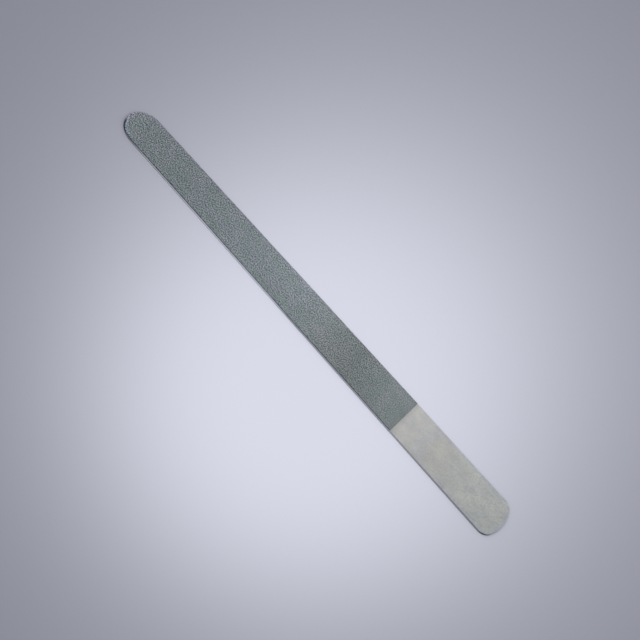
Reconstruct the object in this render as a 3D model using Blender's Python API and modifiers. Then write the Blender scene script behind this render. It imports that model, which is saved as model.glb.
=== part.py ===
"""A straight nail file: a tapered steel blank that carries a bonded grit layer on each face.

The file lies flat on its back face. +X runs from the nose to the butt of the handle, +Y across
the blank and +Z up through its thickness. The origin is under the middle of the file.
"""
import math

import bpy
from mathutils import Vector

MM = 0.001

# Steel blank. Its sides are straight, and both widths are theirs, carried on to the ends
blank_length = 180.0 * MM
blank_thickness = 0.7 * MM
width_at_nose = 15.3 * MM
width_at_butt = 19.1 * MM
blank_edge_round = 0.06 * MM

# Each end is a crown arc between two shoulder arcs, sized as shares of the width there. The
# rise is how far the crown stands out past the places where it would cut the sides if there
# were no shoulders. Shares of a half make an end fully round
nose_rise_share = 0.44
nose_shoulder_share = 0.49
butt_rise_share = 0.14
butt_shoulder_share = 0.22

# Grit layers. They start at the nose and stop short of the butt, so that the handle stays bare
grit_reach = 132.7 * MM
grit_thickness = 0.12 * MM
grit_edge_round = 0.03 * MM

# Bond films between the steel and the grit, set back from the grit's edges
bond_thickness = 0.03 * MM
bond_setback = 0.05 * MM

# Smoothness of the arcs and of the rounded edges
arc_step = math.radians(4.0)
edge_round_segments = 3

# Heights at which the faces meet, counted from the surface that the file lies on
back_bond_base = grit_thickness
blank_base = back_bond_base + bond_thickness
front_bond_base = blank_base + blank_thickness
front_grit_base = front_bond_base + bond_thickness

# How much each side moves out for each length along the blank
side_slope = (width_at_butt - width_at_nose) / 2 / blank_length


def clear_scene():
    """Remove every object that the file holds."""
    for scene_object in list(bpy.data.objects):
        bpy.data.objects.remove(scene_object, do_unlink=True)


def make_material(name, colour, roughness, metallic):
    """Return a Principled material."""
    material = bpy.data.materials.new(name)
    material.use_nodes = True
    shader = material.node_tree.nodes["Principled BSDF"]
    shader.inputs["Base Color"].default_value = (*colour, 1.0)
    shader.inputs["Roughness"].default_value = roughness
    shader.inputs["Metallic"].default_value = metallic
    return material


def arc_points(centre, radius, start, end):
    """Return points on an arc. Angles are turned from the direction that faces the end."""
    steps = math.ceil((end - start) / arc_step)
    points = []
    for index in range(steps + 1):
        angle = start + (end - start) * index / steps
        points.append(centre + radius * Vector((-math.cos(angle), math.sin(angle))))
    return points


def end_half(width, slope, rise_share, shoulder_share, inset):
    """Return the left half of a rounded end, from the middle of its crown to its side.

    Lengths along the blank count inwards from the end. The side starts at half the width there
    and moves out by the slope. The whole outline is set in by the inset.
    """
    crown_rise = rise_share * width
    shoulder_radius = shoulder_share * width
    side_direction = Vector((1, slope)).normalized()
    side_outward = Vector((-side_direction.y, side_direction.x))
    half_chord = width / 2 + slope * crown_rise
    crown_radius = (half_chord ** 2 + crown_rise ** 2) / (2 * crown_rise)
    crown_centre = Vector((crown_radius, 0))

    # The shoulder touches the side and the crown from within. Its centre is therefore on the
    # side set in by its radius, and as far from the crown's centre as the radii differ
    foot = Vector((0, width / 2)) - shoulder_radius * side_outward
    offset = foot - crown_centre
    along = offset.dot(side_direction)
    radius_difference = crown_radius - shoulder_radius
    root = math.sqrt(along ** 2 - offset.length_squared + radius_difference ** 2)
    shoulder_centre = foot - (along + root) * side_direction

    touch_angle = math.atan2(shoulder_centre.y, crown_centre.x - shoulder_centre.x)
    side_angle = math.atan2(side_direction.x, side_direction.y)
    crown = arc_points(crown_centre, crown_radius - inset, 0, touch_angle)
    shoulder = arc_points(shoulder_centre, shoulder_radius - inset, touch_angle, side_angle)
    return crown + shoulder[1:]


def nose_half(inset):
    """Return the left half of the nose, from its tip to its side."""
    return end_half(width_at_nose, side_slope, nose_rise_share, nose_shoulder_share, inset)


def blank_outline():
    """Return the closed outline of the steel blank."""
    nose = nose_half(0)
    butt = end_half(width_at_butt, -side_slope, butt_rise_share, butt_shoulder_share, 0)
    left = nose + [Vector((blank_length - point.x, point.y)) for point in reversed(butt)]
    right = [Vector((point.x, -point.y)) for point in reversed(left[1:-1])]
    return left + right


def layer_outline(inset, setback):
    """Return the closed outline of a layer: the nose and sides set in, and a square cut end."""
    end = grit_reach - setback
    cut_half_width = width_at_nose / 2 + side_slope * end - inset * math.hypot(1, side_slope)
    left = nose_half(inset) + [Vector((end, cut_half_width))]
    right = [Vector((point.x, -point.y)) for point in reversed(left[1:])]
    return left + right


def make_plate(name, outline, base, thickness, material, edge_round=0):
    """Return a flat plate that stands on its base height, with its edges rounded."""
    curve = bpy.data.curves.new(name, "CURVE")
    curve.dimensions = "2D"
    curve.fill_mode = "BOTH"
    curve.extrude = thickness / 2
    curve.materials.append(material)
    spline = curve.splines.new("POLY")
    spline.points.add(len(outline) - 1)
    for spline_point, place in zip(spline.points, outline):
        spline_point.co = (place.x - blank_length / 2, place.y, 0, 1)
    spline.use_cyclic_u = True

    plate = bpy.data.objects.new(name, curve)
    plate.location.z = base + thickness / 2
    weld = plate.modifiers.new("weld_caps", "WELD")
    weld.merge_threshold = bond_thickness / 10
    if edge_round:
        rounding = plate.modifiers.new("round_edges", "BEVEL")
        rounding.width = edge_round
        rounding.segments = edge_round_segments
        rounding.limit_method = "ANGLE"
    return plate


def make_steel_blank():
    """Return the steel blank, which is the core of the blade and the whole handle."""
    steel = make_material("satin_steel", (0.42, 0.42, 0.40), 0.38, 1.0)
    return make_plate("steel_blank", blank_outline(), blank_base, blank_thickness, steel,
                      blank_edge_round)


def make_bond_films():
    """Return the two films that hold the grit to the flat of the steel."""
    bond = make_material("bond_resin", (0.10, 0.11, 0.12), 0.45, 0.0)
    outline = layer_outline(blank_edge_round + bond_setback, bond_setback)
    back = make_plate("back_bond_film", outline, back_bond_base, bond_thickness, bond)
    front = make_plate("front_bond_film", outline, front_bond_base, bond_thickness, bond)
    return back, front


def make_grit_layers():
    """Return the two abrasive layers, which cover the flat of the steel up to its round edge."""
    grit = make_material("grey_green_grit", (0.17, 0.20, 0.21), 0.75, 0.0)
    outline = layer_outline(blank_edge_round, 0)
    back = make_plate("back_grit_layer", outline, 0, grit_thickness, grit, grit_edge_round)
    front = make_plate("front_grit_layer", outline, front_grit_base, grit_thickness, grit,
                       grit_edge_round)
    return back, front


def build():
    """Build the nail file in a collection of its own."""
    clear_scene()
    parts = bpy.data.collections.new("nail_file")
    bpy.context.scene.collection.children.link(parts)
    for plate in (make_steel_blank(), *make_bond_films(), *make_grit_layers()):
        parts.objects.link(plate)


build()
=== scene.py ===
"""Looks of the nail file: the grit's relief, the steel, the floor, the light and the camera."""
import math

import bpy
import numpy as np
from mathutils import Matrix, Vector, noise
from mathutils.geometry import convex_hull_2d, delaunay_2d_cdt


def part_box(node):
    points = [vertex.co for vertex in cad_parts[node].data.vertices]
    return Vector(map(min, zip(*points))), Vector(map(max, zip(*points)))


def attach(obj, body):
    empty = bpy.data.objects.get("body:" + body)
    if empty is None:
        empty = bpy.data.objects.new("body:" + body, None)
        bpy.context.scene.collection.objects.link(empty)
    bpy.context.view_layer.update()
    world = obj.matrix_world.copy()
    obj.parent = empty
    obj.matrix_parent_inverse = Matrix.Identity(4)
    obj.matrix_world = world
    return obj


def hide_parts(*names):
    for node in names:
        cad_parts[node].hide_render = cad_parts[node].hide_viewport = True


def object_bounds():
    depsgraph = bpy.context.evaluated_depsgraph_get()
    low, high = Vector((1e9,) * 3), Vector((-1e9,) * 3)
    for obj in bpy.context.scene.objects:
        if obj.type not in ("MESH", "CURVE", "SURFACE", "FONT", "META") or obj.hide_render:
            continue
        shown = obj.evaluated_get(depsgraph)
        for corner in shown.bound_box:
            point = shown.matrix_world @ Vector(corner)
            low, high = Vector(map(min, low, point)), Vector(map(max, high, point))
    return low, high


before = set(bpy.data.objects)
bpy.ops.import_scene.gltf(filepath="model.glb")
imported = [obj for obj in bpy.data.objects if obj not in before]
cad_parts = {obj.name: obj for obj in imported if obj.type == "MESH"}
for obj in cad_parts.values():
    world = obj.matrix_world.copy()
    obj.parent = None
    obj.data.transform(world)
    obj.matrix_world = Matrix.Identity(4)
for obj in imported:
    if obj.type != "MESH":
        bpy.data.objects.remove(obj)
cad_low, cad_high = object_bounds()

MM = 0.001

# The ends of the file, the cut where the grit ends and the bare handle starts, and the height of
# the steel's upper face. Places along the file are measured from its middle
nose_end = cad_low.x
butt_end = cad_high.x
grit_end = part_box("front_grit_layer")[1].x
steel_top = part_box("steel_blank")[1].z

# Grit relief. Its points are the corners of grains, and lie up to a relief's depth under the
# highest ones. A bias above 1 leaves more of them high up
grain_pitch = 0.2 * MM
grain_jitter_share = 0.38
grain_relief = 0.07 * MM
grain_bias = 1.3
swell_height = 0.01 * MM
swell_length = 2.5 * MM
front_seed = 11
back_seed = 23

# Points of the relief that lie closer than this are merged, and sides of an outline that are
# shorter than this are passed over
merge_distance = grain_pitch / 1000
least_side = grain_relief / 10

# The rim of the grit slopes down and is ragged. The two shares say how much of that raggedness
# is kept along and across the file
rim_width = 0.3 * MM
rim_drop = 0.02 * MM
rim_jitter = 0.02 * MM
rim_jitter_shares = (0.3, 1.0)

# Near the cut the grains drown in resin. That begins at the first place and is full at the second,
# where this share of the relief is left
calm_start = 24 * MM
calm_full = grit_end - 2.5 * MM
calm_share = 0.35

# Tones of the grains. Neighbours that lie these steps away even a tone out by this share
grain_size = 0.3 * MM
grain_steps = (
    (0.32 * MM, 0, 0), (-0.16 * MM, 0.41 * MM, 0), (-0.16 * MM, -0.41 * MM, 0),
)
grain_evening = 0.25

# Colours of the grit: its grains, its faint clouds, and its tint on the half by the cut
cool_grain = (0.158, 0.2023, 0.231)
warm_grain = (0.180, 0.2033, 0.209)
green_cloud = (0.97, 1.02, 1.00)
pink_cloud = (1.03, 0.99, 1.02)
warm_tint = (1.02, 0.995, 0.945)
grit_roughness = (0.9, 0.4)

# How far the patterns in the grit swing its brightness, and the sizes of the larger ones
grain_swing = 1.8
darkest_grain = 0.05
coarse_size = 0.34 * MM
coarse_swing = 0.12
cloud_size = 4 * MM
cloud_swing = 0.34

# Finest unevenness: its size on the grit, and its height on the grit and the bond films
bump_size = 0.07 * MM
bump_height = 0.01 * MM

# The grit's walls carry painted shade: a little below the first height, on the back layer, and
# nearly black above the second, on the front layer, as the shaded line under the grit's edge. A
# face is wall where its level share is below the first limit, and no wall above the second
back_wall_top = 0.3 * MM
front_wall_bottom = 0.6 * MM
back_wall_painted_shade = 0.8
front_wall_painted_shade = 0.14
wall_limits = (0.2, 0.5)

# A dark coat, given as resin, paints the shade along the blade under the grit's edge. It has run
# down the blade's walls to about this height, and over the edges it coats all faces whose level
# share passes the limits. Resin is darkest where it is thick, and that darkest colour also paints
# the nose's dark edge
resin_shade_start = steel_top - 0.19 * MM
resin_shade_ragged = 0.06 * MM
resin_shade_run_size = 0.5 * MM
filler_size = 0.15 * MM
resin_and_dark_edge = (0.02, 0.023, 0.026)
resin_shade_colour = (0.03, 0.034, 0.038)
cloudy_resin = (0.05, 0.055, 0.06)
resin_roughness = (0.35, 0.6)
resin_shade_limits = (0.05, 0.2)

# Patterns in the steel: the size of their spots, how far these are drawn out along the file, the
# scuffs askew by a turn in radians, and the limits of noise between which a mark begins and is full
brush_size = 0.12 * MM
brush_stretch = (50, 1, 1)
hair_size = 0.4 * MM
hair_stretch = (25, 1, 1)
hair_limits = (0.64, 0.70)
scuff_size = 1.3 * MM
scuff_stretch = (4, 1, 1)
scuff_turn = 0.35
scuff_limits = (0.54, 0.66)
smudge_size = 7 * MM
smudge_limits = (0.35, 0.65)
speck_size = 0.6 * MM
pit_size = 0.9 * MM
pit_limits = (0.82, 0.86)
ridge_height = 0.002 * MM

# How far each swings the steel's brightness, or the share of it that a mark leaves
brush_swing = 0.32
smudge_swing = 0.25
scuff_swing = -0.15
scratch_shade = 0.85
pit_shade = 0.75

# Colours of the steel, and its tints by the cut and by the butt
rubbed_steel = (0.537, 0.534, 0.520)
clean_steel = (0.545, 0.541, 0.508)
cut_tint = (1.005, 0.998, 0.948)
butt_tint = (0.968, 0.998, 0.968)
blade_wall_tint = (0.54, 0.54, 0.54)
handle_wall_tint = (0.55, 0.53, 0.50)
brush_roughness = (0.34, 0.44)
smudge_roughness = (-0.03, 0.06)

# The handle is bluer towards its outline, and its far edge has a painted highlight. The butt's rim
# follows the radius
butt_crown_radius = 18.3 * MM
blue_width = 2.0 * MM
blue_tint = (0.94, 0.96, 1.06)
highlight_width = 0.3 * MM
highlight_gain = 1.2

# The nose's rim: on its near side a pale band shows, and outside it, where the tip begins, a dark
# edge of painted reflection. The rest of the nose's rim is greyer than the blade, and the far rim a
# share of that
pale_band_width = 0.7 * MM
pale_band_length = 9 * MM
nose_fade = 2.5 * MM
dark_width = 0.12 * MM
dark_length = 3 * MM
dark_side = 2 * MM
dark_fade = 1.5 * MM
grey_width = 2.5 * MM
grey_length = 4.5 * MM
grey_fade = 4 * MM
grey_far_share = 0.45
grey_swing = 0.55
grey_tint = (1.15, 0.99, 1.13)
pale_band_tint = (1.26, 1.35, 1.41)

# Camera, as fitted to the strip's outline in the photograph. The slide moves it along its own
# axes, to the right and up
camera_tilt = math.radians(47.11)
camera_swing = math.radians(2.86)
camera_roll = math.radians(47.89)
camera_distance = 590.8 * MM
camera_lens = 102.6
camera_sensor = 36.0
camera_slide = (1.69 * MM, -0.18 * MM)

# Floor. Its paper carries a painted pool of light: palest under the file, it shades off in ovals,
# which are drawn out away from the camera and are wider apart there
floor_radius = 6.0
floor_corners = 96
floor_gap = 0.01 * MM
floor_centre = (16 * MM, -22 * MM, cad_low.z - floor_gap)
floor_stretch = (1.0, 1.47, 1.0)
floor_falloff = 0.0768
floor_power = 3.5
floor_lean = 2.28
floor_lean_start = -0.25
floor_lean_end = 1.0
paper_pale = (0.758, 0.774, 0.886)
paper_shade = (0.216, 0.222, 0.270)
paper_roughness = 0.9
fibre_size = 0.4 * MM
fibre_swing = 0.02

# One wide soft lamp on the near side. The world is paler where it is seen, by the camera or in
# the steel, than as a light
lamp_place = (0.0, -0.75, 1.65)
lamp_size = 3.0
lamp_power = 27.4
world_light = (0.50, 0.50, 0.50)
world_seen = (0.68, 0.69, 0.74)


class Nodes:
    """The nodes of one shader tree, with short calls to add and join them."""

    # The sockets of a mix node for its factor and its two colours, and the one for its result
    mix_factor = 0
    mix_first = 6
    mix_second = 7
    mix_result = 2

    def __init__(self, tree):
        self.tree = tree
        self.tree.nodes.clear()

    def add(self, kind, inputs=None, **settings):
        """Add a node. Inputs hold constants or the outputs of other nodes."""
        node = self.tree.nodes.new(kind)
        for name, value in settings.items():
            setattr(node, name, value)
        for name, value in (inputs or {}).items():
            self.feed(node.inputs[name], value)
        return node

    def feed(self, socket, value):
        """Give an input another node's output, a constant or a colour."""
        if isinstance(value, bpy.types.NodeSocket):
            self.tree.links.new(value, socket)
        elif socket.type == "RGBA":
            socket.default_value = (*value, 1.0)
        else:
            socket.default_value = value

    def place(self, stretch=(1, 1, 1), turn=0.0):
        """Return places on the object in metres, for a pattern drawn out and turned on Z."""
        coordinates = self.add("ShaderNodeTexCoord").outputs["Object"]
        if stretch == (1, 1, 1) and not turn:
            return coordinates
        mapping = self.add("ShaderNodeMapping", {
            "Vector": coordinates, "Scale": stretch, "Rotation": (0, 0, turn)},
            vector_type="TEXTURE")
        return mapping.outputs["Vector"]

    def parts(self, vector):
        """Return the three parts of a vector."""
        return self.add("ShaderNodeSeparateXYZ", {"Vector": vector}).outputs

    def stored(self, name):
        """Return a number that the mesh keeps for each of its points."""
        return self.add("ShaderNodeAttribute", attribute_name=name).outputs["Fac"]

    def noise(self, place, size, detail=2.0, roughness=0.5, distortion=0.0):
        """Return smooth noise from 0 to 1 whose lumps have about that size."""
        values = {"Vector": place, "Scale": 1 / size, "Detail": detail,
                  "Roughness": roughness, "Distortion": distortion}
        return self.add("ShaderNodeTexNoise", values).outputs["Fac"]

    def cells(self, place, size):
        """Return two random numbers from 0 to 1 for each cell of about that size."""
        voronoi = self.add("ShaderNodeTexVoronoi", {"Vector": place, "Scale": 1 / size})
        parts = self.add("ShaderNodeSeparateColor", {"Color": voronoi.outputs["Color"]})
        return parts.outputs["Red"], parts.outputs["Blue"]

    def math(self, operation, first, second=0.0, clamp=False):
        """Return the result of one sum."""
        return self.add("ShaderNodeMath", {0: first, 1: second}, operation=operation,
                        use_clamp=clamp).outputs["Value"]

    def spread(self, value, low, high, to_low, to_high):
        """Return the value carried from one range to another, held inside the second."""
        values = {"Value": value, "From Min": low, "From Max": high, "To Min": to_low,
                  "To Max": to_high}
        return self.add("ShaderNodeMapRange", values).outputs["Result"]

    def ramp(self, value, stops):
        """Return a colour from a list of places and colours."""
        node = self.add("ShaderNodeValToRGB", {"Fac": value})
        elements = node.color_ramp.elements
        while len(elements) < len(stops):
            elements.new(0.5)
        for element, (position, colour) in zip(elements, stops):
            element.position = position
            element.color = (*colour, 1.0)
        return node.outputs["Color"]

    def blend(self, factor, first, second, mode="MIX"):
        """Return two colours mixed."""
        values = {self.mix_factor: factor, self.mix_first: first, self.mix_second: second}
        node = self.add("ShaderNodeMix", values, data_type="RGBA", blend_type=mode)
        return node.outputs[self.mix_result]

    def tinted(self, colour, tint):
        """Return a colour multiplied by another."""
        return self.blend(1.0, colour, tint, "MULTIPLY")

    def scaled(self, colour, *values):
        """Return a colour made brighter or darker by numbers."""
        for value in values:
            grey = self.add("ShaderNodeCombineColor", {"Red": value, "Green": value, "Blue": value})
            colour = self.tinted(colour, grey.outputs["Color"])
        return colour

    def bump(self, height, distance):
        """Return a normal bent by a height from 0 to 1, in metres at full height."""
        return self.add("ShaderNodeBump", {"Height": height, "Distance": distance}).outputs["Normal"]

    def surface(self, **inputs):
        """Close the tree with one Principled shader."""
        values = {name.replace("_", " "): value for name, value in inputs.items()}
        shader = self.add("ShaderNodeBsdfPrincipled", values)
        self.add("ShaderNodeOutputMaterial", {"Surface": shader.outputs["BSDF"]})


def new_material(name):
    """Return a material and the helper for its nodes."""
    material = bpy.data.materials.new(name)
    material.use_nodes = True
    return material, Nodes(material.node_tree)


def along_file(nodes, stops):
    """Return a number that changes along the file, from places in metres and values under 2."""
    length = butt_end - nose_end
    along = nodes.parts(nodes.place())["X"]
    share = nodes.spread(along, nose_end, butt_end, 0.0, 1.0)
    halves = [((place - nose_end) / length, (value / 2,) * 3) for place, value in stops]
    grey = nodes.add("ShaderNodeSeparateColor", {"Color": nodes.ramp(share, halves)})
    return nodes.math("MULTIPLY", grey.outputs["Red"], 2.0)


def around_one(nodes, value, amount):
    """Return a number from 0 to 1 turned into a brightness that swings by an amount round 1."""
    swing = nodes.math("MULTIPLY", nodes.math("SUBTRACT", value, 0.5), amount)
    return nodes.math("ADD", swing, 1.0)


def across_file(nodes, near, far):
    """Return a number that changes evenly from the file's near edge, at -Y, to its far edge."""
    return nodes.spread(nodes.parts(nodes.place())["Y"], cad_low.y, cad_high.y, near, far)


def level_share(nodes):
    """Return 1 on level faces and 0 on upright ones."""
    normal = nodes.add("ShaderNodeNewGeometry").outputs["True Normal"]
    return nodes.math("ABSOLUTE", nodes.parts(normal)["Z"])


def straight_rim(nodes, width, far_alone=False):
    """Return a number that rises to 1 over the last width before one or both straight edges."""
    place = nodes.parts(nodes.place())
    out = place["Y"] if far_alone else nodes.math("ABSOLUTE", place["Y"])
    reach = nodes.spread(place["X"], nose_end, butt_end, *straight_half_widths)
    return nodes.spread(nodes.math("SUBTRACT", reach, out), width, 0.0, 0.0, 1.0)


def handle_rim(nodes, width):
    """Return a number that rises to 1 over the last width before the handle's outline."""
    crown_centre = (butt_end - butt_crown_radius, 0, 0)
    reach = nodes.add("ShaderNodeVectorMath", {0: nodes.place(), 1: crown_centre},
                      operation="DISTANCE").outputs["Value"]
    crown = nodes.spread(reach, butt_crown_radius - width, butt_crown_radius, 0.0, 1.0)
    return nodes.math("MAXIMUM", straight_rim(nodes, width), crown)


def grain_tones(nodes, place):
    """Return a tone from about 0 to 1 and a polish for each grain.

    Part of the tones of the grains one step away is taken off, so that the tones even out over a
    few grains instead of clouding.
    """
    tone, polish = nodes.cells(place, grain_size)
    for step in grain_steps:
        moved = nodes.add("ShaderNodeVectorMath", {0: place, 1: step}, operation="ADD")
        beside = nodes.math("SUBTRACT", nodes.cells(moved.outputs["Vector"], grain_size)[0], 0.5)
        tone = nodes.math("SUBTRACT", tone, nodes.math("MULTIPLY", beside, grain_evening))
    return tone, polish


def grit_colour(nodes, place, tone, coarse_tone):
    """Return the grit's colour before its rim marks: grey-green grains of many tones, faintly
    clouded, with painted shade along and across the file.
    """
    clouds = nodes.noise(place, cloud_size)
    patches = nodes.ramp(clouds, [(0.35, green_cloud), (0.65, pink_cloud)])
    warmth = along_file(nodes, [(nose_end, 0.0), (-8 * MM, 0.0), (10 * MM, 1.0), (butt_end, 1.0)])
    tints = nodes.blend(warmth, (1, 1, 1), warm_tint)
    colour = nodes.blend(tone, cool_grain, warm_grain)
    colour = nodes.tinted(nodes.tinted(colour, patches), tints)
    contrast = along_file(nodes, [
        (nose_end, 1.30), (-80 * MM, 1.06), (-35 * MM, 1.10), (-28 * MM, 1.03), (-5 * MM, 1.03),
        (2 * MM, 1.1), (24 * MM, 0.98), (30 * MM, 0.58), (39 * MM, 0.60), (41 * MM, 0.35),
        (butt_end, 0.35),
    ])
    # Painted shade across the file, by an amount that changes along it
    lean = along_file(nodes, [
        (nose_end, 0.08), (-30 * MM, 0.10), (-15 * MM, 0.30), (-2 * MM, 0.14), (15 * MM, 0.10),
        (27 * MM, 0.24), (38 * MM, 0.16), (43 * MM, 0.08),
    ])
    # Painted shade along the file
    shade = along_file(nodes, [
        (nose_end, 1.00), (-82 * MM, 0.88), (-58 * MM, 0.93), (-42 * MM, 1.02), (-30 * MM, 1.12),
        (-8 * MM, 1.20), (0, 1.16), (18 * MM, 0.88), (27 * MM, 0.97), (34 * MM, 1.07),
        (40 * MM, 1.06), (43 * MM, 0.96),
    ])
    grain_shade = around_one(nodes, tone, nodes.math("MULTIPLY", contrast, grain_swing))
    return nodes.scaled(
        colour,
        nodes.math("MAXIMUM", grain_shade, darkest_grain),
        around_one(nodes, coarse_tone, nodes.math("MULTIPLY", contrast, coarse_swing)),
        around_one(nodes, clouds, cloud_swing),
        around_one(nodes, across_file(nodes, 0.0, 1.0), lean),
        shade,
    )


def rim_marked_grit(nodes, colour, polish):
    """Return the grit's colour at its rim: a greyer rim, a pale band, and a dark edge of painted
    reflection.

    Grains differ more where the rim is greyer.
    """
    rim = nodes.stored("rim")
    colour = nodes.blend(rim, colour, nodes.tinted(colour, grey_tint))
    colour = nodes.scaled(colour, around_one(nodes, polish, nodes.math("MULTIPLY", rim, grey_swing)))
    colour = nodes.blend(nodes.stored("pale_band"), colour, nodes.tinted(colour, pale_band_tint))
    # Painted dark reflection on the nose's edge
    return nodes.blend(nodes.stored("edge"), colour, resin_and_dark_edge)


def make_grit_material():
    """Return the mineral grit, marked at its rim, with painted shade on its walls, darkest on the
    front layer's.
    """
    material, nodes = new_material("grit_mineral")
    place = nodes.place()
    tone, polish = grain_tones(nodes, place)
    coarse_tone, coarse_polish = nodes.cells(place, coarse_size)
    colour = rim_marked_grit(nodes, grit_colour(nodes, place, tone, coarse_tone), polish)
    height = nodes.parts(place)["Z"]
    # Painted shade on the grit's walls, darker on the front layer's
    walls = nodes.spread(height, back_wall_top, front_wall_bottom, back_wall_painted_shade, front_wall_painted_shade)
    colour = nodes.scaled(colour, nodes.spread(level_share(nodes), *wall_limits, walls, 1.0))
    roughness = nodes.spread(nodes.math("ADD", polish, coarse_polish), 0.3, 1.7, *grit_roughness)
    bumps = nodes.noise(place, bump_size)
    nodes.surface(Base_Color=colour, Roughness=roughness, Normal=nodes.bump(bumps, bump_height))
    return material


def make_bond_material():
    """Return the dark resin film, cloudy with fine filler."""
    material, nodes = new_material("bond_resin")
    filler = nodes.noise(nodes.place(), filler_size, detail=3.0)
    colour = nodes.ramp(filler, [(0.3, resin_and_dark_edge), (0.7, cloudy_resin)])
    roughness = nodes.spread(filler, 0.3, 0.7, *resin_roughness)
    nodes.surface(Base_Color=colour, Roughness=roughness, Normal=nodes.bump(filler, bump_height))
    return material


def steel_face(nodes, place, brush, scratches, smudges):
    """Return the colour of the steel's faces, which use has marked more towards the butt, with
    painted shade along and across the file and a painted highlight along the far edge.
    """
    scuffs = nodes.noise(nodes.place(scuff_stretch, scuff_turn), scuff_size, detail=3.0,
                         roughness=0.65, distortion=1.5)
    scuffed = nodes.spread(scuffs, *scuff_limits, 0.0, 1.0)
    specks = nodes.noise(place, speck_size, detail=3.0, roughness=0.8)
    pits = nodes.spread(nodes.noise(place, pit_size, detail=0.0), *pit_limits, 1.0, pit_shade)
    use = along_file(nodes, [(nose_end, 0.35), (52 * MM, 0.4), (78 * MM, 0.75), (butt_end, 0.8)])
    colour = nodes.ramp(smudges, list(zip(smudge_limits, (rubbed_steel, clean_steel))))
    by_butt = along_file(nodes, [(nose_end, 0.0), (46 * MM, 0.0), (84 * MM, 1.0)])
    colour = nodes.tinted(colour, nodes.blend(by_butt, cut_tint, butt_tint))
    rims = nodes.math("MULTIPLY", handle_rim(nodes, blue_width),
                      along_file(nodes, [(nose_end, 0.0), (50 * MM, 0.2), (60 * MM, 1.0)]))
    colour = nodes.blend(rims, colour, nodes.tinted(colour, blue_tint))
    far_edge_highlight = nodes.math("MULTIPLY", straight_rim(nodes, highlight_width, far_alone=True),
                      along_file(nodes, [(nose_end, 0.0), (50 * MM, 0.0), (75 * MM, 1.0)]))
    # Painted shade: darker by the cut and towards the butt, and lighter towards the far edge
    shade = along_file(nodes, [
        (nose_end, 1.0), (grit_end, 0.95), (grit_end + 2 * MM, 1.11), (52 * MM, 1.08),
        (58 * MM, 0.96), (74 * MM, 0.96), (80 * MM, 0.90), (butt_end, 0.86),
    ])
    return nodes.scaled(
        colour,
        around_one(nodes, brush, brush_swing),
        around_one(nodes, specks, use),
        around_one(nodes, smudges, smudge_swing),
        nodes.spread(scratches, 0.0, 1.0, 1.0, scratch_shade),
        pits,
        around_one(nodes, scuffed, nodes.math("MULTIPLY", use, scuff_swing)),
        nodes.spread(far_edge_highlight, 0.0, 0.6, 1.0, highlight_gain),
        across_file(nodes, 0.94, 1.04),
        shade,
    )


def steel_walls(nodes):
    """Return the colour of the steel's walls, with painted reflections by the way they face and
    their
    place: near-black where they face the nose, pale where they face sideways.
    """
    normal = nodes.parts(nodes.add("ShaderNodeNewGeometry").outputs["True Normal"])
    facing_reflection = nodes.ramp(nodes.spread(normal["X"], -1.0, 1.0, 0.0, 1.0), [
        (0.12, (0.06, 0.065, 0.08)), (0.19, (0.10, 0.11, 0.13)), (0.26, (0.50, 0.52, 0.56)),
        (0.34, (0.91, 0.93, 0.95)), (0.53, (0.91, 0.93, 0.95)), (0.75, (0.36, 0.38, 0.42)),
        (1.0, (0.50, 0.53, 0.58)),
    ])
    # Painted reflection along the file: darkest at the nose, brightest on the blade's nose half,
    # darker towards the butt
    shade = along_file(nodes, [
        (nose_end, 0.30), (-87.5 * MM, 0.40), (-86 * MM, 0.80), (-83 * MM, 0.90),
        (-76 * MM, 1.50), (-50 * MM, 1.60), (-14 * MM, 1.38), (-6 * MM, 0.88), (38 * MM, 0.95),
        (46 * MM, 0.80), (butt_end, 0.68),
    ])
    warmth = along_file(nodes, [(nose_end, 0.0), (42 * MM, 0.0), (46 * MM, 1.0)])
    tints = nodes.blend(warmth, blade_wall_tint, handle_wall_tint)
    return nodes.tinted(nodes.scaled(facing_reflection, shade), tints)


def resin_shade_share(nodes, place, level):
    """Return 1 where a dark coat, given as resin and painting the shade under the grit's edge, has
    run over the blade's edges and a little way down its walls.
    """
    blade = along_file(nodes, [
        (nose_end, 1.0), (grit_end - 0.1 * MM, 1.0), (grit_end + 0.2 * MM, 0.0),
    ])
    ragged = nodes.math("MULTIPLY", nodes.noise(place, resin_shade_run_size, detail=3.0), resin_shade_ragged)
    height = nodes.math("ADD", nodes.parts(place)["Z"], ragged)
    run = nodes.spread(height, resin_shade_start, resin_shade_start + resin_shade_ragged / 2, 0.0, 1.0)
    coated = nodes.math("MAXIMUM", run, nodes.spread(level, *resin_shade_limits, 0.0, 1.0))
    return nodes.math("MULTIPLY", blade, coated)


def make_steel_material():
    """Return satin stainless steel: a lengthwise grain, hairline scratches, scuffs and smudges."""
    material, nodes = new_material("satin_steel")
    place = nodes.place()
    level = level_share(nodes)
    brush = nodes.noise(nodes.place(brush_stretch), brush_size, detail=3.0, roughness=0.6)
    hairs = nodes.noise(nodes.place(hair_stretch), hair_size, detail=4.0, roughness=0.75,
                        distortion=0.2)
    scratches = nodes.spread(hairs, *hair_limits, 0.0, 1.0)
    smudges = nodes.noise(place, smudge_size, detail=3.0, roughness=0.6, distortion=0.5)
    face = steel_face(nodes, place, brush, scratches, smudges)
    # Painted shade, given as resin, over the blade's edges and down its walls
    resin = resin_shade_share(nodes, place, level)
    colour = nodes.blend(resin, nodes.blend(level, steel_walls(nodes), face), resin_shade_colour)
    roughness = nodes.math("ADD", nodes.spread(brush, 0.3, 0.7, *brush_roughness),
                           nodes.spread(smudges, 0.35, 0.7, *smudge_roughness))
    ridges = nodes.math("SUBTRACT", brush, nodes.math("MULTIPLY", scratches, 0.5))
    nodes.surface(Base_Color=colour, Metallic=nodes.math("SUBTRACT", 1.0, resin),
                  Roughness=roughness, Normal=nodes.bump(ridges, ridge_height))
    return material


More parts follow.
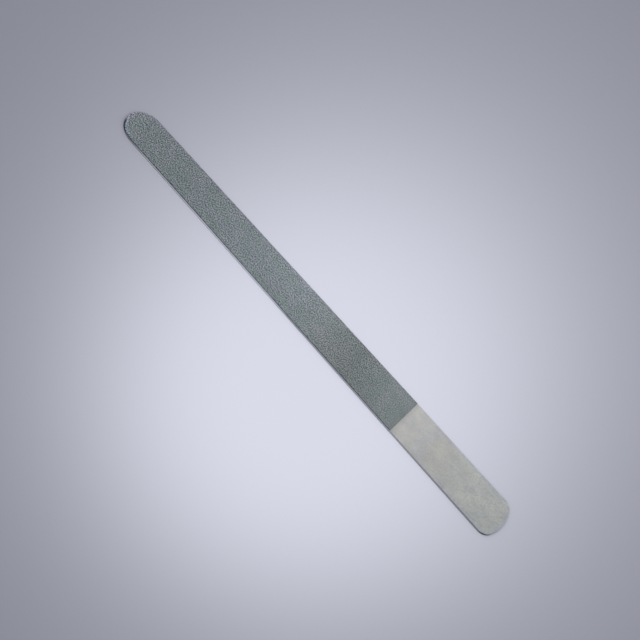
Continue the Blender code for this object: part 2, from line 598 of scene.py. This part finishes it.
def make_floor_material():
    """Return the pale lavender-grey paper of the floor, with a painted pool of light under the file.
    """
    material, nodes = new_material("floor_paper")
    reach = nodes.add("ShaderNodeVectorMath", {0: nodes.place(floor_stretch)},
                      operation="LENGTH").outputs["Value"]
    lean = nodes.spread(nodes.parts(nodes.place())["Y"], floor_lean_start, floor_lean_end,
                        1 + floor_lean_start * floor_lean, 1 + floor_lean_end * floor_lean)
    share = nodes.math("DIVIDE", reach, nodes.math("MULTIPLY", lean, floor_falloff))
    shade = nodes.math("ADD", nodes.math("POWER", share, floor_power), 1.0)
    colour = nodes.blend(nodes.math("DIVIDE", 1.0, shade), paper_shade, paper_pale)
    fibres = nodes.noise(nodes.place(), fibre_size, detail=3.0)
    colour = nodes.scaled(colour, around_one(nodes, fibres, fibre_swing))
    nodes.surface(Base_Color=colour, Roughness=paper_roughness)
    return material


def layer_outline(node):
    """Return the corners of a layer's outline, in order, from its CAD node."""
    places = [Vector((vertex.co.x, vertex.co.y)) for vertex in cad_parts[node].data.vertices]
    return np.array([places[index] for index in convex_hull_2d(places)])


def cut_at(outline, limit):
    """Return the part of a closed outline that lies short of a limit along the file."""
    kept = []
    for start, end in zip(outline, np.roll(outline, -1, axis=0)):
        if start[0] <= limit:
            kept.append(start)
        if (start[0] <= limit) != (end[0] <= limit):
            kept.append(start + (end - start) * (limit - start[0]) / (end[0] - start[0]))
    return np.array(kept)


def straight_sides(outline):
    """Return half the width at the nose and at the butt, by the longest side of an outline."""
    ends = np.stack((outline, np.roll(outline, -1, axis=0)), axis=1)
    start, end = ends[np.argmax(np.linalg.norm(ends[:, 1] - ends[:, 0], axis=1))]
    slope = (abs(end[1]) - abs(start[1])) / (end[0] - start[0])
    return [abs(start[1]) + slope * (place - start[0]) for place in (nose_end, butt_end)]


def even_steps(outline, pitch):
    """Return points along a closed outline, about a pitch apart, with its corners kept."""
    points = []
    for start, end in zip(outline, np.roll(outline, -1, axis=0)):
        steps = max(1, round(np.linalg.norm(end - start) / pitch))
        points += [start + (end - start) * index / steps for index in range(steps)]
    return np.array(points)


def depth_inside(points, outline):
    """Return how far each point lies inside a convex outline."""
    depth = np.full(len(points), np.inf)
    middle = outline.mean(axis=0)
    for start, end in zip(outline, np.roll(outline, -1, axis=0)):
        along = end - start
        length = np.linalg.norm(along)
        if length < least_side:
            continue
        inward = np.array((-along[1], along[0])) / length
        if (middle - start) @ inward < 0:
            inward = -inward
        depth = np.minimum(depth, (points - start) @ inward)
    return depth


def scattered_points(outline, random):
    """Return points spread over the inside of an outline: a triangular lattice, shaken."""
    low = outline.min(axis=0)
    high = outline.max(axis=0)
    row_pitch = grain_pitch * math.sqrt(3) / 2
    grid_x, grid_y = np.meshgrid(np.arange(low[0], high[0], grain_pitch),
                                 np.arange(low[1], high[1], row_pitch))
    grid_x[1::2] += grain_pitch / 2
    points = np.stack((grid_x.ravel(), grid_y.ravel()), axis=1)
    points += random.uniform(-1, 1, points.shape) * grain_pitch * grain_jitter_share
    return points[depth_inside(points, outline) > grain_pitch / 2]


def relief_depth(points, rim, random):
    """Return how far each point of the relief lies under the highest grain."""
    swell = np.array([noise.noise(Vector((x, y, 0)) / swell_length) for x, y in points])
    grain = random.random(len(points)) ** grain_bias * grain_relief
    calm = np.clip((calm_full - points[:, 0]) / (calm_full - calm_start), 0, 1)
    grain *= (calm_share + (1 - calm_share) * calm) * (1 - rim / 2)
    return grain + (swell + 1) * swell_height / 2 + rim ** 2 * rim_drop


def near_nose(points, length, fade):
    """Return 1 near the nose, falling to 0 over a fade that ends at a length from it."""
    return np.clip((length - (points[:, 0] - nose_end)) / fade, 0, 1)


def pale_band_share(points, depth):
    """Return how far the grit is made pale, in a band on the near side of the nose."""
    side = near_nose(points, pale_band_length, nose_fade) * np.clip(-points[:, 1] / nose_fade, 0, 1)
    outer = np.clip((depth - dark_width) / dark_width, 0, 1)
    return side * outer * np.clip(2 - depth / pale_band_width, 0, 1)


def edge_share(points, depth):
    """Return how far the edge is painted dark, as a dark reflection, outside the pale band."""
    side = near_nose(points, dark_length, dark_fade)
    side *= np.clip((-points[:, 1] - dark_side) / dark_fade, 0, 1)
    return side * np.clip(2 + 2 * side - depth / dark_width, 0, 1)


def rim_share(points, depth, half_width):
    """Return how grey the rim is: most at the nose, and less along the far edge."""
    far = np.clip(0.5 + points[:, 1] / half_width, 0, 1)
    far *= np.clip((grit_end - points[:, 0]) / grey_fade - 1, 0, 1)
    reach = np.maximum(near_nose(points, grey_length, nose_fade), far * grey_far_share)
    return np.clip(1 - depth / grey_width, 0, 1) * reach


def mesh_object(name, vertices, faces, material):
    """Return a new mesh object."""
    mesh = bpy.data.meshes.new(name)
    mesh.from_pydata(vertices, [], faces)
    mesh.materials.append(material)
    mesh.update()
    thing = bpy.data.objects.new(name, mesh)
    bpy.context.scene.collection.objects.link(thing)
    return thing


def store_share(mesh, name, values):
    """Keep a number from 0 to 1 for each point of a mesh, for its material to read.

    The points without a number come last, and keep 0.
    """
    shares = np.zeros(len(mesh.vertices), np.float32)
    shares[:len(values)] = values
    mesh.attributes.new(name, "FLOAT", "POINT").data.foreach_set("value", shares)


def wall_faces(edges, first_ring, second_ring, centre):
    """Return the faces from the border down over two rings, and a fan that closes the seat."""
    faces = []
    for index, following in edges:
        faces.append((following, index, first_ring + index, first_ring + following))
        faces.append((first_ring + following, first_ring + index, second_ring + index,
                      second_ring + following))
        faces.append((second_ring + following, second_ring + index, centre))
    return faces


def make_relief(node, name, outline, faces_up, seed, material):
    """Make the sculpted grit layer that stands for a CAD layer."""
    random = np.random.default_rng(seed)
    low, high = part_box(node)
    top, seat = (high.z, low.z) if faces_up else (low.z, high.z)
    downwards = -1 if faces_up else 1
    border = even_steps(outline, grain_pitch)
    border_count = len(border)

    # The border's points move in by a little, so that the rim is as ragged as the face
    inward = border.mean(axis=0) - border
    inward *= rim_jitter_shares / np.linalg.norm(inward, axis=1)[:, None]
    ragged = border + inward * random.random((border_count, 1)) * rim_jitter
    flat = np.concatenate((ragged, scattered_points(outline, random)))
    edges = [(index, (index + 1) % border_count) for index in range(border_count)]
    result = delaunay_2d_cdt([Vector(point) for point in flat], edges, [], 1, merge_distance)
    flat = np.array([tuple(point) for point in result[0]])
    depth = depth_inside(flat, outline)
    rim = np.clip(1 - depth / rim_width, 0, 1)
    surface = np.column_stack((flat, top + downwards * relief_depth(flat, rim, random)))

    # Under the border come a ragged ring low on the wall, the seat's edge and its centre
    low_down = border + inward * random.random((border_count, 1)) * rim_jitter
    ring_heights = seat + (top - seat) / 4 + random.uniform(-1, 1, border_count) * rim_jitter / 2
    middle_ring = np.column_stack((low_down, ring_heights))
    seat_ring = np.column_stack((border, np.full(border_count, seat)))
    seat_centre = (*border.mean(axis=0), seat)
    vertices = np.concatenate((surface, middle_ring, seat_ring, [seat_centre]))
    first_ring = len(surface)
    second_ring = first_ring + border_count
    faces = [tuple(face) for face in result[2]]
    faces += wall_faces(edges, first_ring, second_ring, second_ring + border_count)
    if not faces_up:
        faces = [face[::-1] for face in faces]
    relief = mesh_object(name, vertices.tolist(), faces, material)
    store_share(relief.data, "pale_band", pale_band_share(flat, depth))
    store_share(relief.data, "edge", edge_share(flat, depth))
    store_share(relief.data, "rim", rim_share(flat, depth, outline[:, 1].max()))
    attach(relief, "root")
    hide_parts(node)
    return relief


def dress_node(node, material):
    """Give a CAD node its finish."""
    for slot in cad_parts[node].material_slots:
        slot.material = material


def make_floor():
    """Make the floor that the file lies on."""
    bpy.ops.mesh.primitive_circle_add(vertices=floor_corners, radius=floor_radius,
                                      fill_type="NGON", location=floor_centre)
    floor = bpy.context.object
    floor.name = "floor"
    floor.data.materials.append(make_floor_material())


def make_lamp():
    """Add a square soft light that faces the middle of the file."""
    lamp = bpy.data.lights.new("key_light", "AREA")
    lamp.size = lamp_size
    lamp.energy = lamp_power
    light = bpy.data.objects.new("key_light", lamp)
    light.location = lamp_place
    light.rotation_euler = (-Vector(lamp_place)).to_track_quat("-Z", "Y").to_euler()
    bpy.context.scene.collection.objects.link(light)


def make_world():
    """Light the file softly from all round, and show a pale background behind it and in it."""
    world = bpy.data.worlds.new("studio")
    bpy.context.scene.world = world
    world.use_nodes = True
    nodes = Nodes(world.node_tree)
    path = nodes.add("ShaderNodeLightPath").outputs
    seen = nodes.math("ADD", path["Is Camera Ray"], path["Is Transmission Ray"])
    seen = nodes.math("ADD", seen, path["Is Glossy Ray"], clamp=True)
    colour = nodes.blend(seen, world_light, world_seen)
    background = nodes.add("ShaderNodeBackground", {"Color": colour, "Strength": 1.0})
    nodes.add("ShaderNodeOutputWorld", {"Surface": background.outputs["Background"]})


def make_camera():
    """Set the camera where the photograph was taken from."""
    sight = Vector((math.sin(camera_tilt) * math.sin(camera_swing),
                    -math.sin(camera_tilt) * math.cos(camera_swing),
                    math.cos(camera_tilt)))
    length_axis = Vector((1, 0, 0))
    along = (length_axis - sight * sight.dot(length_axis)).normalized()
    across = sight.cross(along)
    right = math.cos(camera_roll) * along + math.sin(camera_roll) * across
    up = math.cos(camera_roll) * across - math.sin(camera_roll) * along
    middle = (cad_low + cad_high) / 2
    place = middle + camera_distance * sight + camera_slide[0] * right + camera_slide[1] * up
    lens = bpy.data.cameras.new("camera")
    lens.lens = camera_lens
    lens.sensor_width = camera_sensor
    lens.clip_start = camera_distance / 20
    lens.clip_end = floor_radius * 4
    camera = bpy.data.objects.new("camera", lens)
    turn = Matrix((right, up, sight)).transposed().to_4x4()
    camera.matrix_world = Matrix.Translation(place) @ turn
    bpy.context.scene.collection.objects.link(camera)
    bpy.context.scene.camera = camera


make_camera()
make_floor()
make_world()
make_lamp()

# The grit is cut flush with the steel, and hides its rounded edges
steel_outline = layer_outline("steel_blank")
straight_half_widths = straight_sides(steel_outline)
grit_outline = cut_at(steel_outline, grit_end)
grit = make_grit_material()
make_relief("front_grit_layer", "front_grit_relief", grit_outline, True, front_seed, grit)
make_relief("back_grit_layer", "back_grit_relief", grit_outline, False, back_seed, grit)
bond = make_bond_material()
dress_node("front_bond_film", bond)
dress_node("back_bond_film", bond)
dress_node("steel_blank", make_steel_material())

bpy.context.scene.view_settings.view_transform = "Standard"
